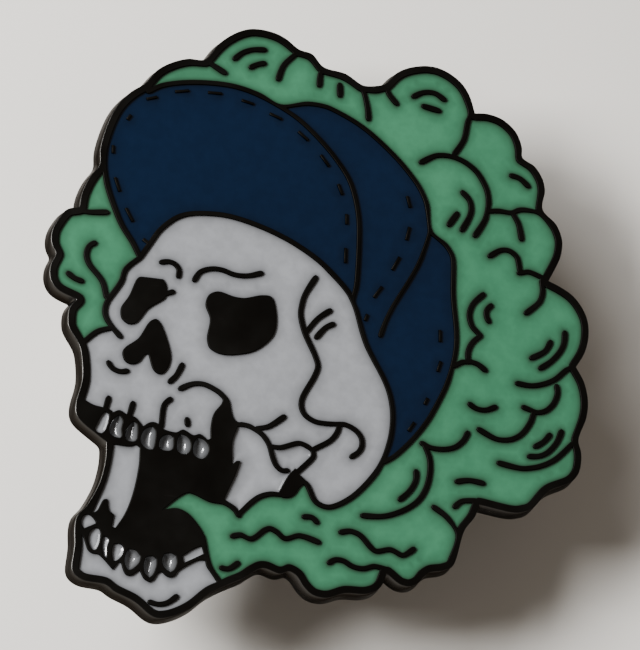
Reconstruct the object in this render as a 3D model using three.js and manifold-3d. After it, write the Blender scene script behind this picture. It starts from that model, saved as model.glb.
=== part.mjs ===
// Soft-enamel lapel pin: a die-struck metal plate with raised lines and sunken enamel,
// two soldered posts and two butterfly clutches.
// Millimetres. The face looks along +Z and the picture's top is +Y.
// The origin is under the middle of the plate, level with the ends of the clutches.
import * as THREE from 'three';
import * as BufferGeometryUtils from 'three/addons/utils/BufferGeometryUtils.js';
import Module from 'manifold-3d';

const wasm = await Module();
wasm.setup();

// ---- driving dimensions ----------------------------------------------------------------
const PIN_HEIGHT = 37.6; // plate, top edge to bottom edge
const PLATE_THICKNESS = 1.4; // back face to the tops of the raised lines
const POCKET_DEPTH = 0.5; // raised lines down to the floor that the enamel lies on
const ENAMEL_RECESS = 0.15; // raised lines down to the enamel
const BORDER_WIDTH = 0.46; // raised rim round the plate
const LINE_WIDTH = 0.3; // raised lines of the drawing
const STITCH_WIDTH = 0.2; // raised dashes on the cap
const ENAMEL_GAP = 0.02; // enamel to the metal round it and under it
const SEAT_GAP = 0.03; // pieces that lie on each other

const POST_SPACING = 16.0;
const POST_LINE = 0.6; // height of the posts above the middle of the plate
const POST_DIAMETER = 1.2;
const POST_LENGTH = 8.0; // plate to the point
const POST_POINT = 1.3; // length of the pointed end
const POST_GROOVE = 0.12; // depth of the ring that the jaws snap into
const POST_GROOVE_LENGTH = 0.7;
const POST_FILLET = 0.15; // solder round the root of the post
const FOOT_DIAMETER = 3.2; // soldered foot of the post
const FOOT_THICKNESS = 0.3;

const CLUTCH_DIAMETER = 11.5;
const CLUTCH_HEIGHT = 6.0; // rim to the closed end of the turret
const SHEET = 0.35; // housing metal
const DISC_THICKNESS = 0.44; // disc crimped into the housing
const DISC_HOLE = 1.9;
const RIM_DEPTH = 0.8; // disc face to the outside of the flange
const LIP_WIDTH = 0.7; // crimped lip over the disc
const TURRET_ROOT = 6.2; // turret diameters, at the flange, at the shoulder and at the end
const TURRET_SHOULDER = 5.2;
const TURRET_END = 3.8;
const SHOULDER_DROP = 1.4; // shoulder to the end of the turret
const SLOT_WIDTH = 3.2; // window for a wing
const SLOT_HEIGHT = 1.7;
const SLOT_DROP = 0.25; // jaws to the middle of the window
const TIP_CLEARANCE = 0.1; // point of the post to the inside of the turret
const SLOT_PLAY = 0.3; // wing to the side of its window
const SPRING_SHEET = 0.25;
const SPRING_LENGTH = 4.4;
const SPRING_DROP = 0.12; // disc to the spring
const WING_SHEET = 0.3;
const JAW_DEPTH = 3.2; // disc face to the middle of the jaws
const JAW_GAP = 0.1; // jaw to the post
const JAW_WIDTH = 0.65; // bar that hooks round the post
const NECK_ROOM = 0.85; // room that one wing leaves for the hook of the other
const WING_REACH = 7.0; // axis to the tip of a wing
const WING_WIDTH = 4.6;
const WING_SLOPE = 20; // degrees

const CHORD_ERROR = 0.045; // straight stretches that stand for curves stay this close to them
const ROUND_SIDES = 28; // sides of the large turned pieces
const POST_SIDES = 16;
const CAP_SIDES = 14; // sides of the round corners of the border
const STEPS_PER_SPAN = 8; // points tried between two points of a curve

// ---- the drawing, in millimetres on a pin 37.6 high, scaled to PIN_HEIGHT below ---------------
// Edge of the plate, clockwise from the notch beside the brim. Each row is one smooth curve.
const EDGE = [
  [[-14.0, 9.1], [-13.95, 10.2], [-13.6, 11.55], [-13.0, 12.9], [-12.2, 13.85], [-11.19, 14.6]],
  [[-11.19, 14.6], [-10.46, 15.5], [-9.5, 16.12], [-8.5, 16.46], [-7.42, 16.52]],
  [[-7.42, 16.52], [-6.5, 17.65], [-5.5, 18.42], [-4.5, 18.81], [-3.4, 18.8], [-2.4, 18.5], [-1.35, 17.77]],
  [[-1.35, 17.77], [-0.5, 17.54], [0.23, 16.77]],
  [[0.23, 16.77], [0.9, 16.64], [1.8, 16.4], [2.8, 15.8]],
  [[2.8, 15.8], [3.6, 15.82], [4.27, 16.04]],
  [[4.27, 16.04], [5.0, 16.8], [6.0, 17.3], [7.2, 17.48], [8.2, 17.28], [9.3, 16.55], [9.85, 15.7], [10.17, 14.63]],
  [[10.17, 14.63], [11.0, 14.66], [12.0, 14.38], [12.88, 13.62], [13.25, 12.7], [13.3, 11.96]],
  [[13.3, 11.96], [14.1, 11.45], [14.65, 10.55], [14.75, 9.7], [14.58, 8.65]],
  [[14.58, 8.65], [15.42, 7.8], [15.85, 6.7], [15.65, 5.45], [14.9, 4.0]],
  [[14.9, 4.0], [15.6, 3.7], [16.6, 3.05], [17.35, 1.9], [17.5, 0.7], [17.2, -0.5], [16.62, -1.46]],
  [[16.62, -1.46], [17.1, -2.3], [17.36, -3.5], [17.27, -4.54], [16.95, -5.48], [16.69, -6.15]],
  [
    [16.69, -6.15], [16.86, -7.1], [16.7, -8.15], [16.2, -8.82], [15.4, -9.17], [14.65, -9.55],
    [14.1, -10.2], [13.5, -10.75], [12.5, -11.02], [11.4, -10.9], [10.18, -10.66],
  ],
  [
    [10.18, -10.66], [9.85, -11.45], [9.25, -12.2], [8.98, -12.95], [8.72, -13.85], [8.4, -14.6],
    [7.8, -14.9], [7.1, -15.0], [6.6, -15.3], [6.25, -15.72], [5.7, -16.0], [5.1, -15.93],
    [4.6, -15.65], [4.2, -15.3],
  ],
  [
    [4.2, -15.3], [3.95, -15.95], [3.5, -16.4], [2.8, -16.63], [2.0, -16.6], [1.4, -16.68],
    [0.7, -16.95], [0.0, -16.98], [-0.6, -16.78], [-1.1, -16.3], [-1.5, -15.72], [-1.95, -15.5],
    [-2.5, -15.68], [-3.0, -15.52], [-3.6, -15.4], [-4.1, -15.62], [-4.8, -16.1], [-5.5, -16.42],
  ],
  [
    [-5.5, -16.42], [-6.4, -16.85], [-7.1, -17.3], [-7.8, -17.95], [-8.5, -18.32], [-9.3, -18.68],
    [-10.1, -18.76], [-10.8, -18.42], [-11.4, -17.9], [-12.0, -17.6], [-12.7, -17.3],
    [-13.3, -16.9], [-14.0, -16.83], [-14.8, -16.65], [-15.25, -16.2], [-15.25, -15.5],
    [-15.13, -14.6], [-15.15, -13.6], [-15.0, -12.85], [-14.55, -12.35], [-14.1, -11.63],
    [-13.66, -10.7], [-13.42, -9.8], [-13.28, -8.8], [-13.3, -8.25],
  ],
  [
    [-13.3, -8.25], [-13.9, -7.75], [-14.7, -7.22], [-15.15, -6.7], [-15.22, -6.1], [-15.05, -5.35],
    [-14.85, -4.6], [-14.87, -3.6], [-14.98, -2.6], [-15.35, -1.85], [-15.75, -1.2], [-15.77, -0.65],
    [-15.7, -0.1], [-15.27, 0.46],
  ],
  [[-15.27, 0.46], [-15.9, 0.74], [-16.6, 1.1], [-16.93, 1.75], [-16.92, 2.45], [-16.6, 3.23]],
  [[-16.6, 3.23], [-16.88, 3.9], [-16.85, 4.65], [-16.5, 5.4], [-15.95, 6.08], [-15.2, 6.3]],
  [[-15.2, 6.3], [-15.08, 7.1], [-14.75, 7.95], [-14.38, 8.58], [-14.0, 9.1]],
];

// Raised lines of the cap.
const CAP_LINES = [
  [
    [-11.0, 14.1], [-10.3, 14.5], [-9.0, 14.85], [-7.5, 15.0], [-6.0, 15.0], [-4.5, 14.73],
    [-3.0, 14.12], [-1.5, 13.3], [0, 12.0], [1.0, 10.88], [1.92, 9.5], [2.38, 7.96], [2.54, 6.42],
    [2.46, 4.88], [2.38, 3.35], [2.33, 2.6], [2.12, 1.75],
  ],
  [[-13.75, 9.4], [-13.64, 8.6], [-13.38, 7.5], [-12.92, 6.27], [-12.46, 5.27], [-11.85, 4.35], [-11.38, 3.45]],
  [
    [-2.5, 13.9], [-1.5, 14.12], [-0.5, 14.25], [0.5, 14.12], [1.5, 13.7], [2.5, 13.2], [3.5, 12.5],
    [4.5, 11.65], [5.5, 10.62], [6.38, 9.5], [6.88, 8.42], [7.04, 7.27], [7.12, 6.55],
  ],
  [[7.12, 6.6], [6.77, 5.65], [6.35, 4.42], [5.62, 3.12], [4.85, 1.88], [4.23, 0.65], [3.85, -0.38]],
  [
    [7.1, 6.6], [8.0, 5.92], [8.54, 5.12], [8.62, 3.96], [8.58, 2.58], [8.7, 1.04], [8.77, -0.3],
    [8.62, -1.46], [8.23, -2.85], [7.69, -4.0], [7.0, -5.31], [6.23, -6.38], [5.31, -7.38],
    [4.6, -8.0], [4.0, -8.35],
  ],
];

// Raised lines of the skull and jaw.
const SKULL_LINES = [
  [
    [-11.38, 3.42], [-10.77, 4.42], [-10.0, 5.42], [-9.0, 6.2], [-8.0, 6.5], [-6.0, 6.54],
    [-4.5, 6.23], [-3.0, 5.73], [-1.5, 5.04], [0, 4.08], [1.0, 3.15], [1.85, 2.2], [2.38, 1.04],
    [2.8, -0.5], [3.23, -1.54], [3.85, -2.62], [4.35, -3.69], [4.6, -4.77], [4.63, -5.85],
    [4.46, -6.92], [4.15, -7.92], [3.62, -8.92], [2.85, -9.81], [2.15, -10.54], [1.3, -11.1],
    [0.58, -11.37], [0.0, -11.26], [-0.35, -10.98], [-0.55, -10.5], [-0.85, -10.02], [-1.25, -9.72],
  ],
  [
    [-11.38, 3.42], [-11.85, 2.96], [-12.25, 2.6], [-12.45, 1.95], [-13.0, 1.04], [-13.42, 0.35],
    [-13.48, -0.3], [-13.2, -0.87], [-12.85, -1.3], [-12.52, -1.64],
  ],
  [[-13.1, -1.14], [-13.85, -1.38], [-14.62, -1.96], [-15.1, -2.4]],
  [
    [-0.27, 3.04], [-0.96, 1.88], [-1.23, 0.7], [-1.12, -0.04], [-0.85, -0.85], [-0.35, -1.85],
    [-0.14, -2.6], [-0.5, -3.54], [-1.0, -4.4], [-1.2, -5.0], [-1.0, -5.65], [-0.35, -6.08],
    [0.5, -6.18], [1.3, -6.12], [1.92, -6.27], [2.5, -6.7], [2.68, -7.23], [2.5, -7.75], [2.0, -8.15],
  ],
  [[0.65, 1.0], [0.12, 0.65], [-0.4, 0.15], [-0.9, -0.5]],
  [[0.85, 0.15], [0.35, -0.12], [-0.23, -0.77]],
  [[-10.04, 3.23], [-9.54, 3.3], [-9.1, 3.12], [-8.92, 2.8], [-8.96, 2.42]],
  [[-7.96, 2.27], [-7.6, 2.8], [-6.9, 3.06], [-6.2, 3.04], [-5.4, 2.8], [-4.6, 2.8], [-3.73, 3.04]],
  [[-9.85, 1.2], [-9.3, 1.42]],
  [[-13.23, -3.31], [-12.95, -3.66], [-12.5, -3.82], [-12.08, -3.75]],
  [[-8.67, -3.12], [-8.85, -3.5], [-9.08, -3.88], [-9.42, -4.23]],
  [[-8.77, -4.62], [-8.2, -4.33], [-7.5, -4.22], [-6.8, -4.42], [-6.2, -4.8], [-5.85, -5.2]],
  [[-9.38, -5.31], [-9.72, -5.62], [-9.83, -6.2], [-9.95, -7.05]],
  [[-13.19, -5.5], [-13.38, -6.2]],
  [[-11.69, -5.73], [-11.9, -6.5]],
  [[-8.33, -6.5], [-8.3, -6.83]],
  [
    [-5.4, -6.62], [-4.88, -6.6], [-4.3, -6.72], [-3.65, -7.12], [-3.2, -7.75], [-3.02, -8.4],
    [-2.75, -9.0], [-2.4, -9.28], [-2.04, -9.27],
  ],
  [[-4.0, -6.8], [-3.5, -6.71], [-2.85, -6.37], [-2.27, -5.92]],
  [
    [1.25, -6.15], [1.12, -6.6], [0.73, -7.15], [0.15, -7.54], [-0.42, -7.88],
    [-0.42, -8.25], [-0.75, -8.68], [-1.27, -9.12], [-1.6, -9.5],
  ],
  [[-0.45, -7.92], [-0.85, -7.66], [-1.4, -7.52], [-2.0, -7.72], [-2.6, -7.88], [-3.15, -7.85]],
  [[-6.1, -11.4], [-5.6, -11.68], [-5.2, -11.98], [-5.07, -12.22]],
  [[-5.07, -12.15], [-4.6, -11.7], [-4.1, -11.2], [-3.5, -10.87], [-2.9, -10.77], [-2.3, -10.8]],
  [[-7.35, -13.6], [-7.15, -14.3], [-7.03, -14.9], [-6.9, -15.4], [-6.65, -15.8], [-6.2, -16.4]],
  [[-10.5, -17.81], [-10.0, -17.92], [-9.46, -17.81], [-8.88, -17.38]],
];

// Raised lines of the smoke: left of the brim, over the cap, behind the cap, under the jaw.
const SMOKE_LINES = [
  [[-15.35, 6.06], [-14.5, 6.04], [-13.46, 6.12]],
  [[-14.2, 4.12], [-14.54, 3.88], [-14.7, 3.35], [-14.54, 2.8], [-14.1, 2.28], [-13.7, 1.75], [-13.4, 0.75]],
  [[-15.8, 2.08], [-15.4, 1.8], [-14.96, 1.65]],
  [[-7.4, 16.5], [-6.5, 16.0], [-6.12, 15.77]],
  [[-5.5, 16.77], [-5.0, 17.2], [-4.4, 17.45], [-3.58, 17.54]],
  [[-4.46, 16.3], [-4.1, 16.5], [-3.6, 16.65]],
  [[-1.35, 17.7], [-1.9, 17.15], [-2.4, 16.55], [-2.7, 15.7]],
  [[0.23, 16.8], [0.04, 16.3], [-0.04, 15.54]],
  [[1.3, 15.7], [1.3, 15.0]],
  [[2.75, 15.8], [2.9, 15.0], [3.1, 14.3], [3.15, 13.62]],
  [[4.25, 16.0], [4.5, 15.4], [5.0, 14.8]],
  [[6.12, 15.38], [6.7, 15.68], [7.5, 15.73], [8.15, 15.35]],
  [[6.77, 14.8], [7.23, 14.7], [7.8, 14.58]],
  [[9.95, 14.75], [9.68, 14.0], [9.4, 12.8], [8.77, 11.8]],
  [
    [6.58, 11.08], [7.5, 11.58], [8.5, 11.65], [9.5, 11.33], [10.3, 10.7], [10.85, 9.75],
    [11.0, 8.9], [10.77, 7.73], [10.08, 6.58],
  ],
  [[9.3, 9.35], [9.75, 8.85], [9.83, 8.1], [9.23, 6.88]],
  [[8.92, 7.92], [8.38, 7.15]],
  [[12.54, 10.73], [13.1, 10.58], [13.65, 10.12]],
  [[10.95, 8.25], [11.7, 8.32], [12.5, 8.27], [13.04, 8.5], [13.8, 8.53], [14.7, 8.4]],
  [[12.6, 8.25], [12.95, 7.6], [13.15, 6.6]],
  [[11.04, 5.33], [11.6, 5.7], [12.3, 5.78], [12.85, 5.35], [13.03, 4.45]],
  [[12.95, 4.38], [13.5, 4.5], [14.2, 4.25], [14.95, 4.05]],
  [[14.46, 4.0], [14.5, 3.3], [14.3, 2.65], [13.38, 1.8]],
  [[10.58, 2.8], [9.95, 2.2], [9.65, 1.42], [9.85, 0.65], [10.35, 0.12]],
  [[10.35, 0.12], [9.8, -0.4], [9.54, -1.0], [9.53, -1.65]],
  [[11.08, 2.12], [10.8, 1.8], [10.77, 1.42], [10.92, 1.08]],
  [[15.92, 0.73], [15.8, -0.1], [15.42, -0.73], [14.85, -1.3], [14.27, -1.69]],
  [[14.96, 0.05], [14.6, -0.55], [13.69, -1.08]],
  [[8.6, -1.95], [9.04, -1.71], [9.54, -1.6], [10.1, -1.7], [10.65, -2.08]],
  [[16.55, -1.35], [15.96, -1.69], [15.19, -2.35], [14.3, -2.74], [13.58, -2.86], [12.73, -2.77]],
  [[15.32, -2.77], [15.36, -3.2], [15.08, -3.92], [14.5, -4.43], [13.88, -4.54], [13.12, -4.27]],
  [[13.78, -4.6], [13.55, -5.2], [12.95, -6.0], [12.2, -6.4], [11.35, -6.42], [10.7, -6.17], [10.19, -5.88]],
  [[9.62, -4.31], [10.0, -4.55], [10.6, -4.63], [11.27, -4.38]],
  [[15.58, -5.65], [15.3, -6.3], [14.65, -7.04], [14.12, -7.31], [13.45, -7.38]],
  [[14.81, -5.92], [14.4, -6.38], [13.85, -6.73]],
  [[16.6, -6.1], [15.9, -6.75], [15.0, -7.55], [14.12, -7.96], [12.9, -8.17], [11.46, -7.92]],
  [[8.73, -9.27], [9.5, -9.15], [10.42, -9.27]],
  [[6.5, -7.0], [7.0, -7.23], [7.8, -7.3], [8.6, -7.12], [9.2, -6.62], [9.46, -6.15]],
  [
    [6.7, -7.15], [6.98, -7.9], [7.0, -8.8], [6.75, -9.8], [6.2, -10.65], [5.23, -11.31],
    [4.0, -11.73], [2.69, -11.77],
  ],
  [[6.12, -8.8], [6.1, -9.3], [5.75, -9.98], [5.08, -10.62]],
  [
    [1.31, -12.88], [1.9, -12.78], [2.54, -13.0], [3.0, -13.5], [3.54, -13.92], [4.46, -13.78],
    [5.2, -14.08], [5.92, -13.65],
  ],
  [
    [-5.46, -13.52], [-4.95, -13.42], [-4.3, -13.62], [-3.85, -13.3], [-3.2, -12.92], [-2.7, -13.1],
    [-2.2, -13.47], [-1.3, -13.25], [-0.73, -13.42], [-0.08, -13.58],
  ],
  [[-1.0, -12.06], [-0.5, -12.08], [-0.19, -12.35]],
  [[-6.12, -15.5], [-5.7, -15.53], [-5.12, -15.15]],
  [[0.58, -14.8], [0.95, -14.6], [1.5, -14.65], [2.08, -14.96], [2.7, -15.05], [3.4, -14.87], [4.2, -15.0]],
  [[8.58, -10.85], [9.0, -10.5], [9.95, -10.4]],
  [[7.23, -10.96], [7.85, -11.35], [8.3, -11.8], [8.75, -12.5]],
];

// Raised dashes that stand for the stitches of the cap.
const STITCHES = [
  [[-9.3, 14.25], [-8.4, 14.4]], [[-11.1, 13.6], [-10.4, 13.8]], [[-12.3, 12.15], [-12.05, 12.5]],
  [[-13.15, 10.45], [-13.15, 9.9]], [[-13.0, 8.4], [-12.7, 7.5]], [[-12.3, 6.5], [-11.85, 5.65]],
  [[-11.2, 4.6], [-10.9, 4.4]], [[-7.2, 14.4], [-6.3, 14.4]], [[-5.05, 14.1], [-4.25, 13.9]],
  [[-3.25, 13.4], [-2.45, 13.08]], [[-1.4, 12.4], [-0.75, 11.85]], [[0.05, 11.0], [0.6, 10.27]],
  [[1.18, 9.2], [1.45, 8.5]], [[1.72, 7.3], [1.72, 6.6]], [[1.66, 5.1], [1.63, 4.1]],
  [[5.65, 8.8], [5.85, 8.04]], [[5.8, 6.8], [5.58, 5.9]], [[5.15, 4.8], [4.65, 3.9]],
  [[4.0, 2.8], [3.45, 2.04]], [[3.04, 0.96], [2.88, 0.5]], [[7.73, 0.3], [7.73, -0.5]],
  [[7.77, -1.7], [7.54, -2.4]], [[6.9, -4.1], [6.68, -4.55]], [[6.04, -5.7], [5.62, -6.3]],
];

// Raised solid areas, as closed smooth loops.
const LEFT_EYE = [
  [-11.0, 2.2], [-10.4, 2.2], [-9.9, 2.15], [-9.68, 1.7], [-9.68, 1.1], [-10.08, 0.73],
  [-10.7, 0.32], [-11.1, -0.1], [-11.45, -0.65], [-12.0, -0.83], [-12.45, -0.5], [-12.5, 0.15],
  [-12.0, 0.98], [-11.7, 1.65], [-11.45, 2.15],
];
const RIGHT_EYE = [
  [-7.23, 0.77], [-6.98, 1.45], [-6.4, 1.65], [-5.5, 1.42], [-4.6, 1.38], [-3.73, 1.62],
  [-3.1, 1.58], [-2.85, 1.04], [-2.77, 0.1], [-2.9, -0.75], [-3.3, -1.28], [-4.1, -1.92],
  [-5.3, -2.27], [-6.3, -2.28], [-6.95, -1.95], [-7.12, -1.35], [-7.0, -0.6], [-6.95, -0.05],
  [-7.12, 0.35],
];
// Raised solid areas with corners: each row is one smooth curve.
const NOSE = [
  [
    [-10.75, -2.65], [-10.62, -3.15], [-10.4, -3.62], [-10.0, -3.83], [-9.62, -3.5], [-9.38, -2.8],
    [-9.5, -2.1], [-9.77, -1.31], [-9.95, -0.78], [-10.3, -0.38], [-10.7, -0.57], [-11.05, -1.08],
    [-11.46, -1.73], [-12.0, -2.1], [-12.36, -2.55], [-12.25, -3.1], [-11.8, -3.33],
    [-11.35, -3.15], [-10.95, -2.65],
  ],
  [[-10.95, -2.65], [-10.75, -2.65]],
];
const JAW_JOINT = [
  [[-1.55, -9.1], [-1.38, -9.42], [-1.0, -9.72], [-0.9, -9.95]],
  [[-0.9, -9.95], [-1.3, -10.3], [-1.55, -10.68], [-1.95, -10.95], [-2.4, -10.95], [-2.6, -10.7]],
  [[-2.6, -10.7], [-2.3, -10.15], [-1.9, -9.45], [-1.55, -9.1]],
];
const MOUTH = [
  [[-14.9, -5.6], [-14.31, -5.92], [-13.54, -6.15], [-13.15, -6.19], [-12.9, -6.38]],
  [[-12.9, -6.38], [-12.5, -6.22], [-12.12, -6.42]],
  [[-12.12, -6.42], [-11.6, -6.55], [-11.25, -6.85], [-11.04, -7.12]],
  [[-11.04, -7.12], [-10.62, -6.85], [-10.3, -6.82], [-10.0, -6.95], [-9.81, -7.19]],
  [[-9.81, -7.19], [-9.45, -7.27], [-9.0, -7.36]],
  [[-9.0, -7.36], [-8.62, -7.16], [-8.25, -7.28], [-7.92, -7.46]],
  [[-7.92, -7.46], [-7.55, -7.36], [-7.25, -7.5], [-7.04, -7.69]],
  [[-7.04, -7.69], [-6.85, -7.6]],
  [[-6.85, -7.6], [-6.84, -6.8], [-6.68, -6.08], [-6.4, -5.65], [-6.15, -5.33], [-6.1, -5.1]],
  [[-6.1, -5.1], [-5.88, -4.95], [-5.7, -5.2]],
  [[-5.7, -5.2], [-5.6, -5.75], [-5.42, -6.25], [-5.1, -6.55]],
  [[-5.1, -6.55], [-5.2, -6.85], [-5.45, -7.45], [-5.54, -8.2], [-5.5, -9.15]],
  [[-5.5, -9.15], [-5.23, -8.88], [-5.0, -8.88]],
  [[-5.0, -8.88], [-5.3, -9.75], [-5.65, -10.5], [-5.96, -11.25]],
  [[-5.96, -11.25], [-5.95, -11.65]],
  [
    [-5.95, -11.65], [-6.5, -11.6], [-7.2, -11.42], [-7.9, -11.1], [-8.3, -11.06], [-8.85, -11.38],
    [-9.4, -11.85], [-9.8, -12.2],
  ],
  [
    [-9.8, -12.2], [-9.3, -12.06], [-8.8, -12.04], [-8.25, -12.28], [-7.7, -12.82],
    [-7.31, -13.38], [-7.1, -14.1], [-6.95, -14.8],
  ],
  [[-6.95, -14.8], [-7.1, -15.12]],
  [[-7.1, -15.12], [-7.55, -15.14], [-8.08, -15.38], [-8.5, -15.65], [-8.81, -15.88]],
  [[-8.81, -15.88], [-9.0, -16.15], [-9.31, -16.27], [-9.58, -16.15], [-9.77, -15.96]],
  [
    [-9.77, -15.96], [-10.0, -16.04], [-10.2, -16.35], [-10.5, -16.62], [-10.85, -16.45],
    [-11.02, -16.1], [-11.15, -15.92],
  ],
  [[-11.15, -15.92], [-11.38, -16.04], [-11.65, -16.28], [-11.95, -16.27], [-12.15, -15.95], [-12.27, -15.56]],
  [[-12.27, -15.56], [-12.42, -15.52], [-12.56, -15.7], [-12.77, -15.98]],
  [[-12.77, -15.98], [-12.96, -15.77], [-13.15, -15.58], [-13.45, -15.38], [-13.65, -15.13]],
  [[-13.65, -15.13], [-13.95, -15.1], [-14.27, -14.92], [-14.47, -14.5], [-14.6, -14.1], [-14.87, -13.8]],
  [[-14.87, -13.8], [-15.6, -13.6]],
  [[-15.6, -13.6], [-15.2, -12.4], [-14.4, -11.4], [-13.9, -10.0], [-14.0, -8.3]],
  [[-14.0, -8.3], [-15.7, -7.2]],
  [[-15.7, -7.2], [-15.7, -5.4]],
  [[-15.7, -5.4], [-14.9, -5.6]],
];

// Enamel cells sunk into the mouth. The ramus is the upright bar of bone behind the front teeth.
const RAMUS = [
  [[-12.84, -8.36], [-12.2, -8.36], [-11.85, -8.42], [-11.46, -8.31], [-11.22, -8.45]],
  [
    [-11.22, -8.45], [-11.23, -9.2], [-11.42, -10.4], [-11.62, -11.31], [-11.95, -12.25],
    [-12.35, -13.05], [-12.65, -13.45],
  ],
  [[-12.65, -13.45], [-12.88, -13.38]],
  [[-12.88, -13.38], [-12.75, -12.65]],
  [[-12.75, -12.65], [-13.02, -12.45], [-13.12, -12.08], [-13.17, -11.73]],
  [[-13.17, -11.73], [-13.35, -11.73], [-13.6, -12.2], [-13.9, -12.58], [-14.09, -12.64]],
  [[-14.09, -12.64], [-13.77, -11.85], [-13.42, -11.05], [-13.12, -10.0], [-12.92, -9.0], [-12.84, -8.36]],
];
const UPPER_TEETH = [
  [[-13.38, -6.38], [-13.14, -6.52], [-13.22, -7.0], [-13.46, -7.66], [-13.72, -7.72], [-14.0, -7.5], [-13.72, -6.85]],
  [[-12.54, -6.54], [-12.31, -6.82], [-12.38, -7.38], [-12.4, -7.92], [-13.0, -7.77], [-13.1, -7.35], [-12.85, -6.8]],
  [[-11.66, -6.87], [-11.42, -7.0], [-11.41, -7.5], [-11.46, -8.02], [-11.85, -8.12], [-12.1, -7.98], [-12.0, -7.3]],
  [[-10.45, -7.1], [-10.28, -7.3], [-10.32, -7.8], [-10.42, -8.5], [-10.85, -8.46], [-11.18, -8.0], [-10.98, -7.35]],
  [[-9.73, -7.6], [-9.4, -7.54], [-9.16, -7.7], [-9.25, -8.44], [-9.65, -8.54], [-10.02, -8.38], [-9.95, -7.8]],
  [[-8.77, -7.46], [-8.4, -7.54], [-8.1, -7.9], [-8.17, -8.52], [-8.5, -8.69], [-8.88, -8.5], [-8.9, -7.8]],
  [[-7.68, -7.62], [-7.3, -7.7], [-6.97, -8.1], [-7.06, -8.66], [-7.4, -8.89], [-7.86, -8.7], [-7.9, -8.0]],
];
const LOWER_TEETH = [
  [[-14.73, -13.08], [-14.5, -12.76], [-14.2, -12.78], [-13.85, -13.22], [-14.25, -13.42], [-14.54, -13.6], [-14.7, -13.4]],
  [[-13.92, -13.54], [-13.62, -13.58], [-13.55, -13.95], [-13.75, -14.75], [-13.95, -14.88], [-14.24, -14.5], [-14.25, -13.9]],
  [[-13.35, -14.0], [-13.04, -14.15], [-13.14, -14.6], [-13.15, -15.28], [-13.28, -15.25], [-13.45, -14.6]],
  [[-12.75, -14.46], [-12.35, -14.42], [-12.13, -14.62], [-12.27, -15.15], [-12.72, -15.48], [-12.83, -15.2]],
  [[-11.85, -14.7], [-11.42, -14.74], [-11.08, -15.15], [-11.3, -15.62], [-11.8, -15.95], [-12.06, -15.5], [-11.98, -14.92]],
  [[-10.73, -15.1], [-10.38, -15.04], [-10.12, -15.2], [-10.2, -15.85], [-10.52, -16.35], [-10.8, -16.1], [-10.88, -15.5]],
  [[-9.62, -14.85], [-9.3, -14.78], [-8.92, -14.95], [-8.9, -15.5], [-9.22, -15.95], [-9.62, -15.68], [-9.77, -15.15]],
];
const BACK_TOOTH = [
  [[-8.54, -14.92], [-8.08, -14.6], [-7.65, -14.35], [-7.35, -14.24]],
  [[-7.35, -14.24], [-7.22, -14.7]],
  [[-7.22, -14.7], [-7.9, -15.05], [-8.42, -15.3], [-8.54, -14.92]],
];

// A point inside each large enamel cell, with the cell's name and colour.
const LARGE_CELLS = [
  ['enamel_cap_brim', [-6, 10], 'navy'],
  ['enamel_cap_crown', [4, 8], 'navy'],
  ['enamel_skull', [-5, 4.5], 'white'],
  ['enamel_cheek', [-4.3, -8.5], 'white'],
  ['enamel_jaw', [-11, -17], 'white'],
  ['enamel_ramus', [-12, -9.5], 'white'],
  ['enamel_back_tooth', [-7.6, -14.7], 'white'],
  ['enamel_smoke_left', [-15.5, 4.3], 'green'],
  ['enamel_smoke_right', [10, -8], 'green'],
  ['enamel_smoke_back', [12.2, 12], 'green'],
];

// ---- materials -------------------------------------------------------------------------------
const MATERIALS = {
  black_nickel: new THREE.MeshStandardMaterial({ color: 0x1b1a19, roughness: 0.32, metalness: 1 }),
  steel: new THREE.MeshStandardMaterial({ color: 0xb9b9b6, roughness: 0.28, metalness: 1 }),
  green: new THREE.MeshStandardMaterial({ color: 0x4a9a72, roughness: 0.3, metalness: 0 }),
  navy: new THREE.MeshStandardMaterial({ color: 0x10243a, roughness: 0.3, metalness: 0 }),
  white: new THREE.MeshStandardMaterial({ color: 0xdcdde0, roughness: 0.25, metalness: 0 }),
};

// ---- flat curves ------------------------------------------------------------------------------
// Points along the smooth curve through the given points, no more than CHORD_ERROR asks for.
function smooth(points, closed = false) {
  const through = points.map(([x, y]) => new THREE.Vector3(x, y, 0));
  if (through.length === 2) return through;
  const curve = new THREE.CatmullRomCurve3(through, closed, 'centripetal');
  const spans = closed ? points.length : points.length - 1;
  const fine = curve.getPoints(spans * STEPS_PER_SPAN);
  if (!closed) return thinned(fine);
  const middle = Math.floor(fine.length / 2);
  return [
    ...thinned(fine.slice(0, middle + 1)).slice(0, -1),
    ...thinned(fine.slice(middle)).slice(0, -1),
  ];
}

// Keeps the two ends and, between them, only the points that the chord would miss.
function thinned(points) {
  const chord = new THREE.Line3(points[0], points[points.length - 1]);
  const misses = points.map((point) => {
    const foot = chord.closestPointToPoint(point, true, new THREE.Vector3());
    return foot.distanceTo(point);
  });
  const farthest = misses.indexOf(Math.max(...misses));
  if (misses[farthest] <= CHORD_ERROR) return [chord.start, chord.end];
  return [...thinned(points.slice(0, farthest + 1)).slice(0, -1), ...thinned(points.slice(farthest))];
}

// One closed outline from rows of smooth curves, each starting where the last one ends.
function joined(rows) {
  return rows.flatMap((row) => smooth(row).slice(0, -1));
}

// Unit vectors to the right of the way along the points.
function rightNormals(points, closed = false) {
  const last = points.length - 1;
  return points.map((point, index) => {
    const before = points[index > 0 ? index - 1 : closed ? last : 0];
    const after = points[index < last ? index + 1 : closed ? 0 : last];
    const along = after.clone().sub(before).normalize();
    return new THREE.Vector3(along.y, -along.x, 0);
  });
}

// The closed outline moved outwards by a small distance, or inwards if it is negative.
function grown(points, distance) {
  if (distance === 0) return points;
  const outwards = THREE.ShapeUtils.isClockWise(points) ? -distance : distance;
  const normals = rightNormals(points, true);
  return points.map((point, index) => point.clone().addScaledVector(normals[index], outwards));
}

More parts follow.
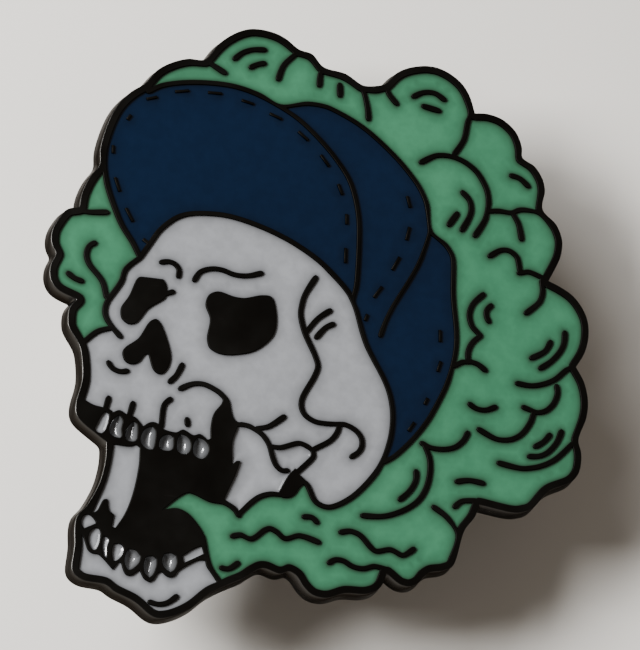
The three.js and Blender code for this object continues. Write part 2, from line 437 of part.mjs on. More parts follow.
// Outline of a line of the given width with round ends.
function strip(line, width) {
  const normals = rightNormals(line);
  const half = width / 2;
  const cap = (centre, normal, side) => [60, 120].map((degrees) => {
    const turned = normal.clone().multiplyScalar(side * half);
    turned.applyAxisAngle(new THREE.Vector3(0, 0, 1), THREE.MathUtils.degToRad(degrees));
    return turned.add(centre);
  });
  const last = line.length - 1;
  const right = line.map((point, index) => point.clone().addScaledVector(normals[index], half));
  const left = line.map((point, index) => point.clone().addScaledVector(normals[index], -half));
  return [
    ...right,
    ...cap(line[last], normals[last], 1),
    ...left.reverse(),
    ...cap(line[0], normals[0], -1),
  ];
}

// Outline of the band between a curve moved left and the same curve moved right.
function band(line, toLeft, toRight) {
  const normals = rightNormals(line);
  const left = line.map((point, index) => point.clone().addScaledVector(normals[index], -toLeft));
  const right = line.map((point, index) => point.clone().addScaledVector(normals[index], toRight));
  return [...right, ...left.reverse()];
}

function circle(x, y, radius, sides) {
  return Array.from({ length: sides }, (unused, index) => {
    const angle = (index / sides) * 2 * Math.PI;
    return new THREE.Vector3(x + radius * Math.cos(angle), y + radius * Math.sin(angle), 0);
  });
}

// ---- solids -----------------------------------------------------------------------------------
function solid(geometry) {
  const bare = geometry.clone();
  bare.deleteAttribute('normal');
  bare.deleteAttribute('uv');
  const welded = BufferGeometryUtils.mergeVertices(bare, 1e-5);
  const corners = [];
  for (let start = 0; start < welded.index.count; start += 3) {
    const triangle = [0, 1, 2].map((corner) => welded.index.getX(start + corner));
    if (new Set(triangle).size === 3) corners.push(...triangle);
  }
  return new wasm.Manifold(new wasm.Mesh({
    numProp: 3,
    vertProperties: new Float32Array(welded.attributes.position.array),
    triVerts: new Uint32Array(corners),
  }));
}

function geometryOf(body) {
  const mesh = body.getMesh();
  const geometry = new THREE.BufferGeometry();
  geometry.setAttribute('position', new THREE.BufferAttribute(new Float32Array(mesh.vertProperties), 3));
  geometry.setIndex(new THREE.BufferAttribute(new Uint32Array(mesh.triVerts), 1));
  return geometry;
}

function plateGeometry(outline, bottom, top) {
  const shape = new THREE.Shape(outline.map((point) => new THREE.Vector2(point.x, point.y)));
  const geometry = new THREE.ExtrudeGeometry(shape, { depth: top - bottom, bevelEnabled: false });
  return geometry.translate(0, 0, bottom);
}

function prism(outline, bottom, top) {
  return solid(plateGeometry(outline, bottom, top));
}

// A turned piece about the Z axis, from a profile of [radius, z] points that runs up the outside.
function turned(profile, sides) {
  const points = profile.map(([radius, z]) => new THREE.Vector2(radius, z));
  return new THREE.LatheGeometry(points, sides).rotateX(Math.PI / 2);
}

function ring(inner, outer, bottom, top, sides) {
  return turned([[inner, bottom], [outer, bottom], [outer, top], [inner, top], [inner, bottom]], sides);
}

// ---- heights ------------------------------------------------------------------------------------
const CLUTCH_FACE = CLUTCH_HEIGHT; // face of the disc, above the closed end of the turret
const POST_TIP = SHEET + TIP_CLEARANCE;
const PLATE_BACK = POST_TIP + POST_LENGTH;
const PLATE_TOP = PLATE_BACK + PLATE_THICKNESS;
const POCKET_FLOOR = PLATE_TOP - POCKET_DEPTH;
const OVERSHOOT = 0.5; // cutting shapes run this far past what they cut

// ---- plate and enamel -------------------------------------------------------------------------
const DRAWN_EDGE = new THREE.Box3().setFromPoints(joined(EDGE));
const DRAWN_CENTRE = DRAWN_EDGE.getCenter(new THREE.Vector3());
const SCALE = PIN_HEIGHT / DRAWN_EDGE.getSize(new THREE.Vector3()).y;

function placed([x, y]) {
  return [(x - DRAWN_CENTRE.x) * SCALE, (y - DRAWN_CENTRE.y) * SCALE];
}

function placedRows(rows) {
  return rows.map((row) => row.map(placed));
}

function union(bodies) {
  return bodies.reduce((sum, body) => sum.add(body));
}

// Everything that stands up to the top of the plate, with its sides moved out by growth.
function raisedDrawing(growth, bottom, top) {
  const rise = (outline) => prism(outline, bottom, top);
  const bodies = [];
  for (const row of placedRows(EDGE)) {
    bodies.push(rise(band(smooth(row), OVERSHOOT / 2, BORDER_WIDTH + growth)));
    bodies.push(rise(circle(row[0][0], row[0][1], BORDER_WIDTH + growth, CAP_SIDES)));
  }
  for (const line of placedRows([...CAP_LINES, ...SKULL_LINES, ...SMOKE_LINES])) {
    bodies.push(rise(strip(smooth(line), LINE_WIDTH + 2 * growth)));
  }
  for (const dash of placedRows(STITCHES)) {
    const half = STITCH_WIDTH / 2 + growth;
    bodies.push(rise(band(smooth(dash), half, half)));
  }
  for (const loop of placedRows([LEFT_EYE, RIGHT_EYE])) {
    bodies.push(rise(grown(smooth(loop, true), growth)));
  }
  for (const rows of [NOSE, JAW_JOINT, MOUTH]) {
    bodies.push(rise(grown(joined(placedRows(rows)), growth)));
  }
  let raised = union(bodies);
  const sink = (outline) => prism(grown(outline, -growth), bottom - OVERSHOOT, top + OVERSHOOT);
  for (const loop of placedRows([...UPPER_TEETH, ...LOWER_TEETH])) {
    raised = raised.subtract(sink(smooth(loop, true)));
  }
  for (const rows of [RAMUS, BACK_TOOTH]) {
    raised = raised.subtract(sink(joined(placedRows(rows))));
  }
  return raised;
}

// The separate hollows that the raised drawing leaves on the plate, as solids.
function hollows(growth, bottom, top) {
  const whole = prism(joined(placedRows(EDGE)), bottom, top);
  return whole.subtract(raisedDrawing(growth, bottom - OVERSHOOT, top + OVERSHOOT)).decompose();
}

// True where the point is inside the body seen from above.
function covers(body, [x, y], top) {
  const mesh = body.getMesh();
  const corner = (index) => {
    const start = mesh.triVerts[index] * mesh.numProp;
    return new THREE.Vector3(...mesh.vertProperties.slice(start, start + 3));
  };
  const isTop = (point) => Math.abs(point.z - top) < 1e-4;
  for (let start = 0; start < mesh.triVerts.length; start += 3) {
    const triangle = [corner(start), corner(start + 1), corner(start + 2)];
    const flat = new THREE.Triangle(...triangle);
    if (triangle.every(isTop) && flat.containsPoint(new THREE.Vector3(x, y, top))) return true;
  }
  return false;
}

function middleOf(loop) {
  const sum = loop.reduce(([sx, sy], [x, y]) => [sx + x, sy + y], [0, 0]);
  return [sum[0] / loop.length, sum[1] / loop.length];
}

const CELLS = [
  ...LARGE_CELLS,
  ...UPPER_TEETH.map((loop, index) => [`enamel_upper_tooth_${index + 1}`, middleOf(loop), 'white']),
  ...LOWER_TEETH.map((loop, index) => [`enamel_lower_tooth_${index + 1}`, middleOf(loop), 'white']),
].map(([name, point, colour]) => ({ name, point: placed(point), colour }));

const group = new THREE.Group();

function addPiece(parent, name, geometry, material) {
  const mesh = new THREE.Mesh(geometry, material);
  mesh.name = name;
  parent.add(mesh);
  return mesh;
}

function makePlate() {
  const pockets = hollows(0, POCKET_FLOOR, PLATE_TOP + OVERSHOOT);
  let plate = prism(joined(placedRows(EDGE)), PLATE_BACK, PLATE_TOP);
  for (const { point } of CELLS) {
    const pocket = pockets.find((body) => covers(body, point, PLATE_TOP + OVERSHOOT));
    plate = plate.subtract(pocket);
  }
  addPiece(group, 'struck_plate', geometryOf(plate), MATERIALS.black_nickel);
}

function makeEnamel() {
  const surface = PLATE_TOP - ENAMEL_RECESS;
  const fills = hollows(ENAMEL_GAP, POCKET_FLOOR + ENAMEL_GAP, surface);
  for (const { name, point, colour } of CELLS) {
    const fill = fills.find((body) => covers(body, point, surface));
    addPiece(group, name, geometryOf(fill), MATERIALS[colour]);
  }
}

// ---- posts --------------------------------------------------------------------------------------
const POST_RADIUS = POST_DIAMETER / 2;

function makePost(name, x) {
  const foot = PLATE_BACK - ENAMEL_GAP;
  const under = foot - FOOT_THICKNESS;
  const grooveBottom = POST_TIP + POST_POINT;
  const grooveTop = grooveBottom + POST_GROOVE_LENGTH;
  const profile = [
    [0, POST_TIP],
    [POST_RADIUS * 0.25, POST_TIP],
    [POST_RADIUS, grooveBottom - POST_GROOVE],
    [POST_RADIUS, grooveBottom],
    [POST_RADIUS - POST_GROOVE, grooveBottom + POST_GROOVE],
    [POST_RADIUS - POST_GROOVE, grooveTop - POST_GROOVE],
    [POST_RADIUS, grooveTop],
    [POST_RADIUS, under - POST_FILLET],
    [POST_RADIUS + POST_FILLET, under],
    [FOOT_DIAMETER / 2, under],
    [FOOT_DIAMETER / 2, foot],
    [0, foot],
  ];
  const post = addPiece(group, name, turned(profile, POST_SIDES), MATERIALS.black_nickel);
  post.position.set(x, POST_LINE, 0);
}

// ---- clutches -----------------------------------------------------------------------------------
const RIM_RADIUS = CLUTCH_DIAMETER / 2;
const JAW_MIDDLE = CLUTCH_FACE - JAW_DEPTH;

function housingGeometry() {
  const discBottom = CLUTCH_FACE - DISC_THICKNESS;
  const lipBottom = CLUTCH_FACE + SEAT_GAP;
  const lipTop = lipBottom + SHEET * 0.7;
  const shelf = discBottom - SEAT_GAP;
  const flange = CLUTCH_FACE - RIM_DEPTH;
  const inside = RIM_RADIUS - SHEET;
  const profile = [
    [0, 0],
    [TURRET_END / 2, 0],
    [TURRET_SHOULDER / 2, SHOULDER_DROP],
    [TURRET_ROOT / 2, flange],
    [RIM_RADIUS, flange],
    [RIM_RADIUS, lipTop],
    [inside - LIP_WIDTH, lipTop],
    [inside - LIP_WIDTH, lipBottom],
    [inside, lipBottom],
    [inside, shelf],
    [TURRET_ROOT / 2 - SHEET, shelf],
    [TURRET_SHOULDER / 2 - SHEET, SHOULDER_DROP],
    [TURRET_END / 2 - SHEET, SHEET],
    [0, SHEET],
  ];
  const shell = solid(turned(profile, ROUND_SIDES));
  const slotMiddle = JAW_MIDDLE - SLOT_DROP;
  const windows = new THREE.BoxGeometry(SLOT_WIDTH, TURRET_ROOT + 2 * OVERSHOOT, SLOT_HEIGHT);
  return geometryOf(shell.subtract(solid(windows.translate(0, 0, slotMiddle))));
}

function discGeometry() {
  const outer = RIM_RADIUS - SHEET - SEAT_GAP;
  return ring(DISC_HOLE / 2, outer, CLUTCH_FACE - DISC_THICKNESS, CLUTCH_FACE, ROUND_SIDES);
}

// The flat middle of the bent spring, which lies under the disc.
function springGeometry() {
  const top = CLUTCH_FACE - DISC_THICKNESS - SPRING_DROP;
  const half = SPRING_LENGTH / 2;
  const side = SLOT_WIDTH / 2 - SLOT_PLAY;
  const outline = [[-side, -half], [side, -half], [side, half], [-side, half]];
  const strap = prism(outline.map(([x, y]) => new THREE.Vector3(x, y, 0)), top - SPRING_SHEET, top);
  const hole = prism(circle(0, 0, DISC_HOLE / 2, POST_SIDES), top - SPRING_SHEET - OVERSHOOT, top + OVERSHOOT);
  return geometryOf(strap.subtract(hole));
}

// One wing: a jaw that hooks round the post, and a paddle outside the turret.
function wingGeometry() {
  const near = POST_RADIUS + JAW_GAP;
  const arm = near + 0.12;
  const side = arm + JAW_WIDTH;
  const behind = near + JAW_WIDTH;
  const neck = SLOT_WIDTH / 2 - SLOT_PLAY;
  const start = behind + NECK_ROOM;
  const end = TURRET_ROOT / 2;
  const jaw = [
    [-near, -behind], [side, -behind], [side, behind], [neck, start], [neck, end], [-neck, end],
    [-neck, start], [arm, start], [arm, -near], [-near, -near],
  ].map(([x, y]) => new THREE.Vector3(x, y, 0));
  const bottom = JAW_MIDDLE - WING_SHEET / 2;
  const hook = prism(jaw, bottom, bottom + WING_SHEET);
  const slope = THREE.MathUtils.degToRad(WING_SLOPE);
  const root = end - WING_SHEET;
  const length = (WING_REACH - root) / Math.cos(slope);
  const wide = WING_WIDTH / 2;
  const half = [[neck, 0], [neck * 1.08, length * 0.1], [wide, length * 0.6], [wide * 0.75, length * 0.92]];
  const mirrored = half.map(([x, y]) => [-x, y]).reverse();
  const outline = smooth([...half, [0, length], ...mirrored]);
  const paddle = plateGeometry(outline, -WING_SHEET / 2, WING_SHEET / 2);
  paddle.rotateX(-slope);
  paddle.translate(0, root, JAW_MIDDLE);
  return geometryOf(hook.add(solid(paddle)));
}

function makeClutch(name, x) {
  const clutch = new THREE.Group();
  clutch.position.set(x, POST_LINE, 0);
  group.add(clutch);
  addPiece(clutch, `${name}_disc`, discGeometry(), MATERIALS.steel);
  addPiece(clutch, `${name}_housing`, housingGeometry(), MATERIALS.steel);
  addPiece(clutch, `${name}_spring`, springGeometry(), MATERIALS.steel);
  addPiece(clutch, `${name}_wing_top`, wingGeometry(), MATERIALS.steel);
  const lower = addPiece(clutch, `${name}_wing_bottom`, wingGeometry(), MATERIALS.steel);
  lower.rotation.z = Math.PI;
}

makePlate();
makeEnamel();
for (const [side, x] of [['left', -POST_SPACING / 2], ['right', POST_SPACING / 2]]) {
  makePost(`post_${side}`, x);
  makeClutch(`clutch_${side}`, x);
}

export default group;
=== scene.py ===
import math

import bpy
import bmesh
from mathutils import Matrix, Vector
from mathutils.geometry import delaunay_2d_cdt, intersect_line_line_2d
from mathutils.kdtree import KDTree


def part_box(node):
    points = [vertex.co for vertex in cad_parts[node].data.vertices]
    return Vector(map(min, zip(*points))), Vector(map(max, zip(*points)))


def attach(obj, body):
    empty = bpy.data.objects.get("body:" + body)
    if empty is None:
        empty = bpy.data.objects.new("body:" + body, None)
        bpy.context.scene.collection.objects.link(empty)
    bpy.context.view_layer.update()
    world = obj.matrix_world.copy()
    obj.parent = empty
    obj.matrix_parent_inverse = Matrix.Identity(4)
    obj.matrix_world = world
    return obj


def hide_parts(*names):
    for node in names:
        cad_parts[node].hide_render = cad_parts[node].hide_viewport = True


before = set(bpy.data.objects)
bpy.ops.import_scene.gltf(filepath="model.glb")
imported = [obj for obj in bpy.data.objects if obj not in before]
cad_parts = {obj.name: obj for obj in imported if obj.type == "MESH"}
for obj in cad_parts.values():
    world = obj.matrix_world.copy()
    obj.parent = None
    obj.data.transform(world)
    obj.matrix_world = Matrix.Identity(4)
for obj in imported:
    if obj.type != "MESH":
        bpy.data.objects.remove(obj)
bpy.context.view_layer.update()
MM = 0.001

plate_low, plate_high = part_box("struck_plate")
BACK = plate_low.z
TOP = plate_high.z

# The plate: roll of the raised lines and of the back edge, flare of the outer wall.
LINE_BEVEL = 0.032 * MM
EDGE_BEVEL = 0.10 * MM
FLARE = 0.14 * MM

# The enamel: depth below the lines, reach into the walls, extra reach in the cap, where the
# lines are slimmer, and how far the climb and the painted shade beside a wall carry.
RECESS = 0.155 * MM
OVERLAP = 0.035 * MM
CAP_SPREAD = 0.035 * MM
CLIMB_FADE = 0.08 * MM
WALL_SHADE_FADE = 0.28 * MM
WALL_ROWS = (0.05 * MM, 0.11 * MM, 0.19 * MM, 0.3 * MM)

# Outlines: spacing of the redrawn points, the turn that stays a corner, the step under which
# two points are one, and the height of a band in the inside test.
PLATE_SPACING = 0.11 * MM
ENAMEL_SPACING = 0.09 * MM
SHARP_TURN = math.radians(55)
SAME_POINT = 0.004 * MM
BAND = 0.2 * MM

# The clutches and posts: sides of a turned piece, and the hole the post passes through.
POST_SIDES = 48
CLUTCH_SIDES = 96
HOLE_RADIUS = 0.95


# ---- shapes cut from the frame's flat outlines --------------------------------------------------
def top_loops(node, height):
    """Closed outlines of a node's faces that lie at the height, metal or enamel on the left."""
    mesh = bmesh.new()
    mesh.from_mesh(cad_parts[node].data)
    bmesh.ops.remove_doubles(mesh, verts=mesh.verts, dist=0.002 * MM)
    top = [face for face in mesh.faces
           if face.normal.z > 0.9 and abs(face.calc_center_median().z - height) < 0.01 * MM]
    used = set(top)
    follows = {}
    for face in top:
        for loop in face.loops:
            if sum(other in used for other in loop.edge.link_faces) == 1:
                follows.setdefault(loop.vert.index, []).append(loop.link_loop_next.vert.index)
    places = {vert.index: vert.co.xy.copy() for vert in mesh.verts}
    mesh.free()
    loops = []
    while follows:
        start = next(iter(follows))
        here, loop = start, []
        while here in follows:
            loop.append(places[here])
            onward = follows[here]
            there = onward.pop()
            if not onward:
                del follows[here]
            here = there
        loops.append(loop)
    return [loop for loop in loops if len(loop) > 2]


def turn_at(before, here, after):
    """The angle by which an outline turns at a point."""
    into, out = here - before, after - here
    if into.length < 1e-9 or out.length < 1e-9:
        return 0.0
    return abs(into.angle_signed(out))


def rounded_loop(loop, spacing):
    """The outline redrawn as smooth curves between its sharp corners."""
    loop = [point for index, point in enumerate(loop)
            if (point - loop[index - 1]).length > SAME_POINT]
    count = len(loop)
    corners = [index for index in range(count)
               if turn_at(loop[index - 1], loop[index], loop[(index + 1) % count]) > SHARP_TURN]
    closed = not corners
    if closed:
        runs = [[loop[step % count] for step in range(count + 1)]]
    else:
        runs = []
        for place, start in enumerate(corners):
            end = corners[(place + 1) % len(corners)]
            span = (end - start) % count or count
            runs.append([loop[(start + step) % count] for step in range(span + 1)])
    drawn = []
    for run in runs:
        drawn += smooth_run(run, spacing, closed)[:-1]
    return uncrossed(drawn)


def smooth_run(run, spacing, closed):
    """A centripetal Catmull-Rom curve through the run of points."""
    if len(run) == 2:
        return run
    first = run[-2] if closed else run[0] * 2 - run[1]
    last = run[1] if closed else run[-1] * 2 - run[-2]
    path = [first] + run + [last]
    drawn = [run[0]]
    for index in range(1, len(path) - 2):
        p0, p1, p2, p3 = path[index - 1:index + 3]
        t1 = max((p1 - p0).length, 1e-7) ** 0.5
        t2 = t1 + max((p2 - p1).length, 1e-7) ** 0.5
        t3 = t2 + max((p3 - p2).length, 1e-7) ** 0.5
        steps = max(1, min(8, round((p2 - p1).length / spacing)))
        for step in range(1, steps + 1):
            t = t1 + (t2 - t1) * step / steps
            a1 = p0 * ((t1 - t) / t1) + p1 * (t / t1)
            a2 = p1 * ((t2 - t) / (t2 - t1)) + p2 * ((t - t1) / (t2 - t1))
            a3 = p2 * ((t3 - t) / (t3 - t2)) + p3 * ((t - t2) / (t3 - t2))
            b1 = a1 * ((t2 - t) / t2) + a2 * (t / t2)
            b2 = a2 * ((t3 - t) / (t3 - t1)) + a3 * ((t - t1) / (t3 - t1))
            drawn.append(b1 * ((t2 - t) / (t2 - t1)) + b2 * ((t - t1) / (t2 - t1)))
    return drawn


def uncrossed(loop):
    """The outline with every small knot, where it crosses itself, drawn in to the crossing."""
    count = len(loop)
    for index in range(count):
        for span in range(2, min(9, count // 3)):
            onward = [loop[(index + step) % count] for step in (0, 1, span, span + 1)]
            crossing = intersect_line_line_2d(*onward)
            if crossing is not None:
                for step in range(1, span + 1):
                    loop[(index + step) % count] = Vector(crossing)
                break
    return loop


def moved_in(loop, distance):
    """The outline moved to its left, with corners mitred to twice the distance at most."""
    count = len(loop)
    moved = []
    for index, point in enumerate(loop):
        into = (point - loop[index - 1]).normalized()
        out = (loop[(index + 1) % count] - point).normalized()
        left = Vector((-into.y - out.y, into.x + out.x))
        if left.length < 1e-6:
            moved.append(point.copy())
            continue
        left.normalize()
        reach = min(2.0, 1 / max(0.1, left.dot(Vector((-out.y, out.x)))))
        moved.append(point + left * distance * reach)
    return uncrossed(moved)


def covered(loops, extra=()):
    """Triangles that fill the area to the left of the outlines, with the extra points in it."""
    points, edges = [], []
    for loop in loops:
        start = len(points)
        points += loop
        edges += [(start + step, start + (step + 1) % len(loop)) for step in range(len(loop))]
    points += extra
    in_mm = [point / MM for point in points]
    verts, _, faces, _, _, _ = delaunay_2d_cdt(in_mm, edges, [], 1, 1e-5)
    verts = [point * MM for point in verts]
    bands = bin_edges(loops)
    kept = []
    for face in faces:
        middle = sum((verts[index] for index in face), Vector((0, 0))) / 3
        if inside(bands, middle):
            kept.append(face)
    return verts, kept


def bin_edges(loops):
    """The outlines' edges sorted into bands of height, for quick inside tests."""
    bands = {}
    for loop in loops:
        for index, end in enumerate(loop):
            start = loop[index - 1]
            low, high = sorted((start.y, end.y))
            for band in range(int(low // BAND), int(high // BAND) + 1):
                bands.setdefault(band, []).append((start, end))
    return bands


def inside(bands, point):
    """Whether the point lies within the outlines, by an odd count of edges to its right."""
    crossings = 0
    for start, end in bands.get(int(point.y // BAND), ()):
        if (start.y > point.y) != (end.y > point.y):
            if point.x < start.x + (end.x - start.x) * (point.y - start.y) / (end.y - start.y):
                crossings += 1
    return crossings % 2 == 1


def stitch_gaps(mesh):
    """Closes the three-sided slivers left where an outline crosses itself."""
    for edge in [edge for edge in mesh.edges if edge.is_boundary]:
        if not edge.is_boundary:
            continue
        ends = [{near.other_vert(vert) for near in vert.link_edges if near.is_boundary}
                for vert in edge.verts]
        for corner in ends[0] & ends[1]:
            mesh.faces.new((edge.verts[0], edge.verts[1], corner))
            break


def welded_piece(name, rings, fills, body, replaces):
    """A closed piece from rings of wall points and flat or curved fills, welded where they meet.

    Each row of walls has a mark: 1 for an edge that wears, a part of 1 for the smooth side,
    below 0 for an inner bevel painted near-black as shade and made rougher, and 0 for plain.
    """
    mesh = bmesh.new()
    edge = mesh.faces.layers.float.new("edge")
    painted_shade_bevel = mesh.faces.layers.float.new("painted_shade_bevel")
    side = mesh.faces.layers.float.new("side")
    for loops, marks in rings:
        rows = [[mesh.verts.new(point) for point in loop] for loop in loops]
        for row, following, mark in zip(rows, rows[1:], marks):
            for index in range(len(row)):
                quad = (row[index - 1], row[index], following[index], following[index - 1])
                face = mesh.faces.new(quad)
                face[edge] = 1.0 if mark == 1.0 else 0.0
                face[side] = mark if 0.0 < mark < 1.0 else 0.0
                face[painted_shade_bevel] = max(0.0, -mark)
    for points, faces in fills:
        verts = [mesh.verts.new(point) for point in points]
        for face in faces:
            mesh.faces.new([verts[index] for index in face])
    bmesh.ops.remove_doubles(mesh, verts=mesh.verts, dist=0.0004 * MM)
    bmesh.ops.dissolve_degenerate(mesh, edges=mesh.edges, dist=0.0003 * MM)
    loose = [vert for vert in mesh.verts if not vert.link_faces]
    bmesh.ops.delete(mesh, geom=loose, context='VERTS')
    stitch_gaps(mesh)
    bmesh.ops.recalc_face_normals(mesh, faces=mesh.faces)
    data = bpy.data.meshes.new(name)
    mesh.to_mesh(data)
    mesh.free()
    piece = bpy.data.objects.new(name, data)
    bpy.context.scene.collection.objects.link(piece)
    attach(piece, body)
    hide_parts(replaces)
    return piece


def eased(loop, times):
    """The outline with its tight corners relaxed."""
    count = len(loop)
    for _ in range(times):
        loop = [(loop[index - 1] + loop[index] * 2 + loop[(index + 1) % count]) / 4
                for index in range(count)]
    return loop


def at_height(loop, height):
    """The flat outline lifted to a height."""
    return [Vector((point.x, point.y, height)) for point in loop]


def flat_fill(loops, height):
    """The filled outlines at one height."""
    points, faces = covered(loops)
    return at_height(points, height), faces


def width_of(loop):
    return max(point.x for point in loop) - min(point.x for point in loop)


def make_plate():
    """The struck plate: flat line tops with rolled edges, upright walls and pocket floors."""
    loops = [rounded_loop(loop, PLATE_SPACING) for loop in top_loops("struck_plate", TOP)]
    rim = max(loops, key=width_of)
    caps = wall_tree([
        rounded_loop(loop, 0.05 * MM) for node in ("enamel_cap_brim", "enamel_cap_crown")
        for loop in top_loops(node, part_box(node)[1].z)])
    pockets = []
    for loop in loops:
        if loop is rim:
            continue
        if all(distance_to(caps, point) < 0.06 * MM for point in loop):
            is_stitch = width_of(loop) <= 3 * MM
            loop = moved_in(loop, CAP_SPREAD * (0.5 if is_stitch else 1.0))
        pockets.append(loop)
    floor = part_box("enamel_skull")[0].z - 0.02 * MM
    inner = LINE_BEVEL * 1.4

    def rolled(loop):
        return (
            at_height(moved_in(loop, inner), TOP),
            at_height(moved_in(loop, LINE_BEVEL), TOP),
            at_height(moved_in(loop, LINE_BEVEL * 0.36), TOP - LINE_BEVEL * 0.36),
            at_height(loop, TOP - LINE_BEVEL),
        )

    # the inner bevels and pocket walls take marks below 0: painted shade, near-black, so they show
    # no glint
    rings = [(rolled(loop) + (at_height(loop, floor),), (0.0, -0.7, -1.0, -1.0))
             for loop in pockets]
    skirt = [eased(moved_in(rim, -FLARE * part), 4) for part in (0.3, 1.0, 0.8, 0.3)]
    heights = (0.65 * TOP + 0.35 * BACK, BACK + EDGE_BEVEL, BACK + EDGE_BEVEL * 0.3, BACK)
    under = tuple(at_height(loop, height) for loop, height in zip(skirt, heights))
    rings.append((rolled(rim) + under, (0.0, 1.0, 0.55, 0.65, 0.7, 0.7, 0.6)))
    fills = [
        flat_fill([moved_in(loop, inner) for loop in [rim] + pockets], TOP),
        flat_fill(pockets, floor),
        flat_fill([skirt[-1]], BACK),
    ]
    return welded_piece("plate", rings, fills, "pin", "struck_plate")


def sand_back(piece):
    """Marks the flat back, which comes off the mould paler and with a fine grain."""
    layer = piece.data.attributes.new("grained", 'FLOAT', 'FACE')
    for face in piece.data.polygons:
        layer.data[face.index].value = 1.0 if face.normal.z < -0.9 else 0.0


def wall_tree(loops):
    """The outlines' points, sorted for quick measures of the distance to a wall."""
    samples = [point for loop in loops for point in loop]
    tree = KDTree(len(samples))
    for index, point in enumerate(samples):
        tree.insert((point.x, point.y, 0), index)
    tree.balance()
    return tree


def distance_to(tree, point):
    return tree.find((point.x, point.y, 0))[2]


def enamel_slot(node):
    slots = {"cap": "enamel_navy", "smoke": "enamel_green"}
    return next((slot for key, slot in slots.items() if key in node), "enamel_white")


def make_enamel(node, creep, cup, step):
    """A fill of enamel that creeps up the walls round it and sags towards the middle."""
    low, high = (corner.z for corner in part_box(node))
    spread = CAP_SPREAD if "cap" in node else 0
    loops = [moved_in(rounded_loop(loop, ENAMEL_SPACING), -OVERLAP - spread)
             for loop in top_loops(node, high)]
    tree = wall_tree(loops)
    bands = bin_edges(loops)
    extra = []
    for offset in WALL_ROWS:
        for loop in loops:
            for point in moved_in(loop, offset):
                if distance_to(tree, point) > offset * 0.86 and inside(bands, point):
                    extra.append(point)
    xs = [point.x for loop in loops for point in loop]
    ys = [point.y for loop in loops for point in loop]
    row = 0
    y = min(ys)
    while y < max(ys):
        x = min(xs) + (step / 2 if row % 2 else 0)
        while x < max(xs):
            point = Vector((x, y))
            if distance_to(tree, point) > WALL_ROWS[-1] + step * 0.4 and inside(bands, point):
                extra.append(point)
            x += step
        y += step * 0.87
        row += 1
    points, faces = covered(loops, extra)
    far = max(distance_to(tree, point) for point in points) if extra else 0.1 * MM

    def away_from_wall(point):
        return max(0.0, distance_to(tree, point) - 0.03 * MM)

    def surface(point):
        away = away_from_wall(point)
        climb = creep * MM * math.exp(-away / CLIMB_FADE)
        bowl = cup * MM * (1 - (1 - min(1.0, away / far)) ** 2)
        return Vector((point.x, point.y, TOP - RECESS + climb - bowl))

    top = [surface(point) for point in points]
    rings = [(([surface(point) for point in loop], at_height(loop, low)), (0.0,))
             for loop in loops]
    fills = [(top, faces), flat_fill(loops, low)]
    name = node.replace("enamel_", "fill_")
    piece = welded_piece(name, rings, fills, "pin", node)
    # painted shade mask: how near each point lies to a wall, used to darken the enamel there
    near = piece.data.attributes.new("painted_wall_shade", 'FLOAT', 'POINT')
    for index, vert in enumerate(piece.data.vertices):
        near.data[index].value = math.exp(-away_from_wall(vert.co.xy) / WALL_SHADE_FADE)
    return piece


def pick_alone(piece):
    """Selects one piece and makes it the active one."""
    bpy.ops.object.select_all(action='DESELECT')
    piece.select_set(True)
    bpy.context.view_layer.objects.active = piece


def shade(piece, degrees, weighted=False):
    """Smooth shading that stays sharp past the angle; weighted keeps broad faces flat."""
    pick_alone(piece)
    bpy.ops.object.shade_smooth_by_angle(angle=math.radians(degrees))
    if weighted:
        modifier = piece.modifiers.new("broad faces flat", 'WEIGHTED_NORMAL')
        modifier.keep_sharp = True
        modifier.weight = 80
        bpy.ops.object.modifier_apply(modifier=modifier.name)


# ---- shader node groups -------------------------------------------------------------------------
MIX_FIRST, MIX_SECOND, MIX_RESULT = 6, 7, 2  # the colour sockets of a mix node


def group_tree(name, inputs):
    """A node group that gives a colour, a roughness and a height."""
    tree = bpy.data.node_groups.new(name, 'ShaderNodeTree')
    for label, kind, value in inputs:
        socket = tree.interface.new_socket(label, in_out='INPUT', socket_type=kind)
        socket.default_value = value
    for label, kind in (("Color", 'NodeSocketColor'), ("Roughness", 'NodeSocketFloat'),
                        ("Height", 'NodeSocketFloat')):
        tree.interface.new_socket(label, in_out='OUTPUT', socket_type=kind)
    return tree, tree.nodes.new('NodeGroupInput'), tree.nodes.new('NodeGroupOutput')


def add(tree, kind, **values):
    """A new node with its settings."""
    node = tree.nodes.new(kind)
    for key, value in values.items():
        setattr(node, key, value)
    return node


def attribute_of(tree, name):
    return add(tree, 'ShaderNodeAttribute', attribute_name=name).outputs['Fac']


def maths(tree, operation, first, second):
    """One operation on two values, each a number or another node's output."""
    node = add(tree, 'ShaderNodeMath', operation=operation)
    for socket, value in zip(node.inputs, (first, second)):
        if isinstance(value, (int, float)):
            socket.default_value = value
        else:
            tree.links.new(value, socket)
    return node.outputs[0]


def spread_of(tree, value, low, high, to_low, to_high):
    """The value stretched from one range to another and held within it."""
    node = add(tree, 'ShaderNodeMapRange')
    tree.links.new(value, node.inputs['Value'])
    for label, number in (('From Min', low), ('From Max', high),
                          ('To Min', to_low), ('To Max', to_high)):
        node.inputs[label].default_value = number
    return node.outputs['Result']


def noise_of(tree, place, scale, detail=2.0, roughness=0.5):
    node = add(tree, 'ShaderNodeTexNoise')
    tree.links.new(place, node.inputs['Vector'])
    node.inputs['Scale'].default_value = scale
    node.inputs['Detail'].default_value = detail
    node.inputs['Roughness'].default_value = roughness
    return node.outputs['Fac']


def mixed(tree, factor, first, second):
    """Two colours mixed by a factor; the second may be a plain colour."""
    node = add(tree, 'ShaderNodeMix', data_type='RGBA')
    tree.links.new(factor, node.inputs['Factor'])
    tree.links.new(first, node.inputs[MIX_FIRST])
    if isinstance(second, tuple):
        node.inputs[MIX_SECOND].default_value = second
    else:
        tree.links.new(second, node.inputs[MIX_SECOND])
    return node.outputs[MIX_RESULT]


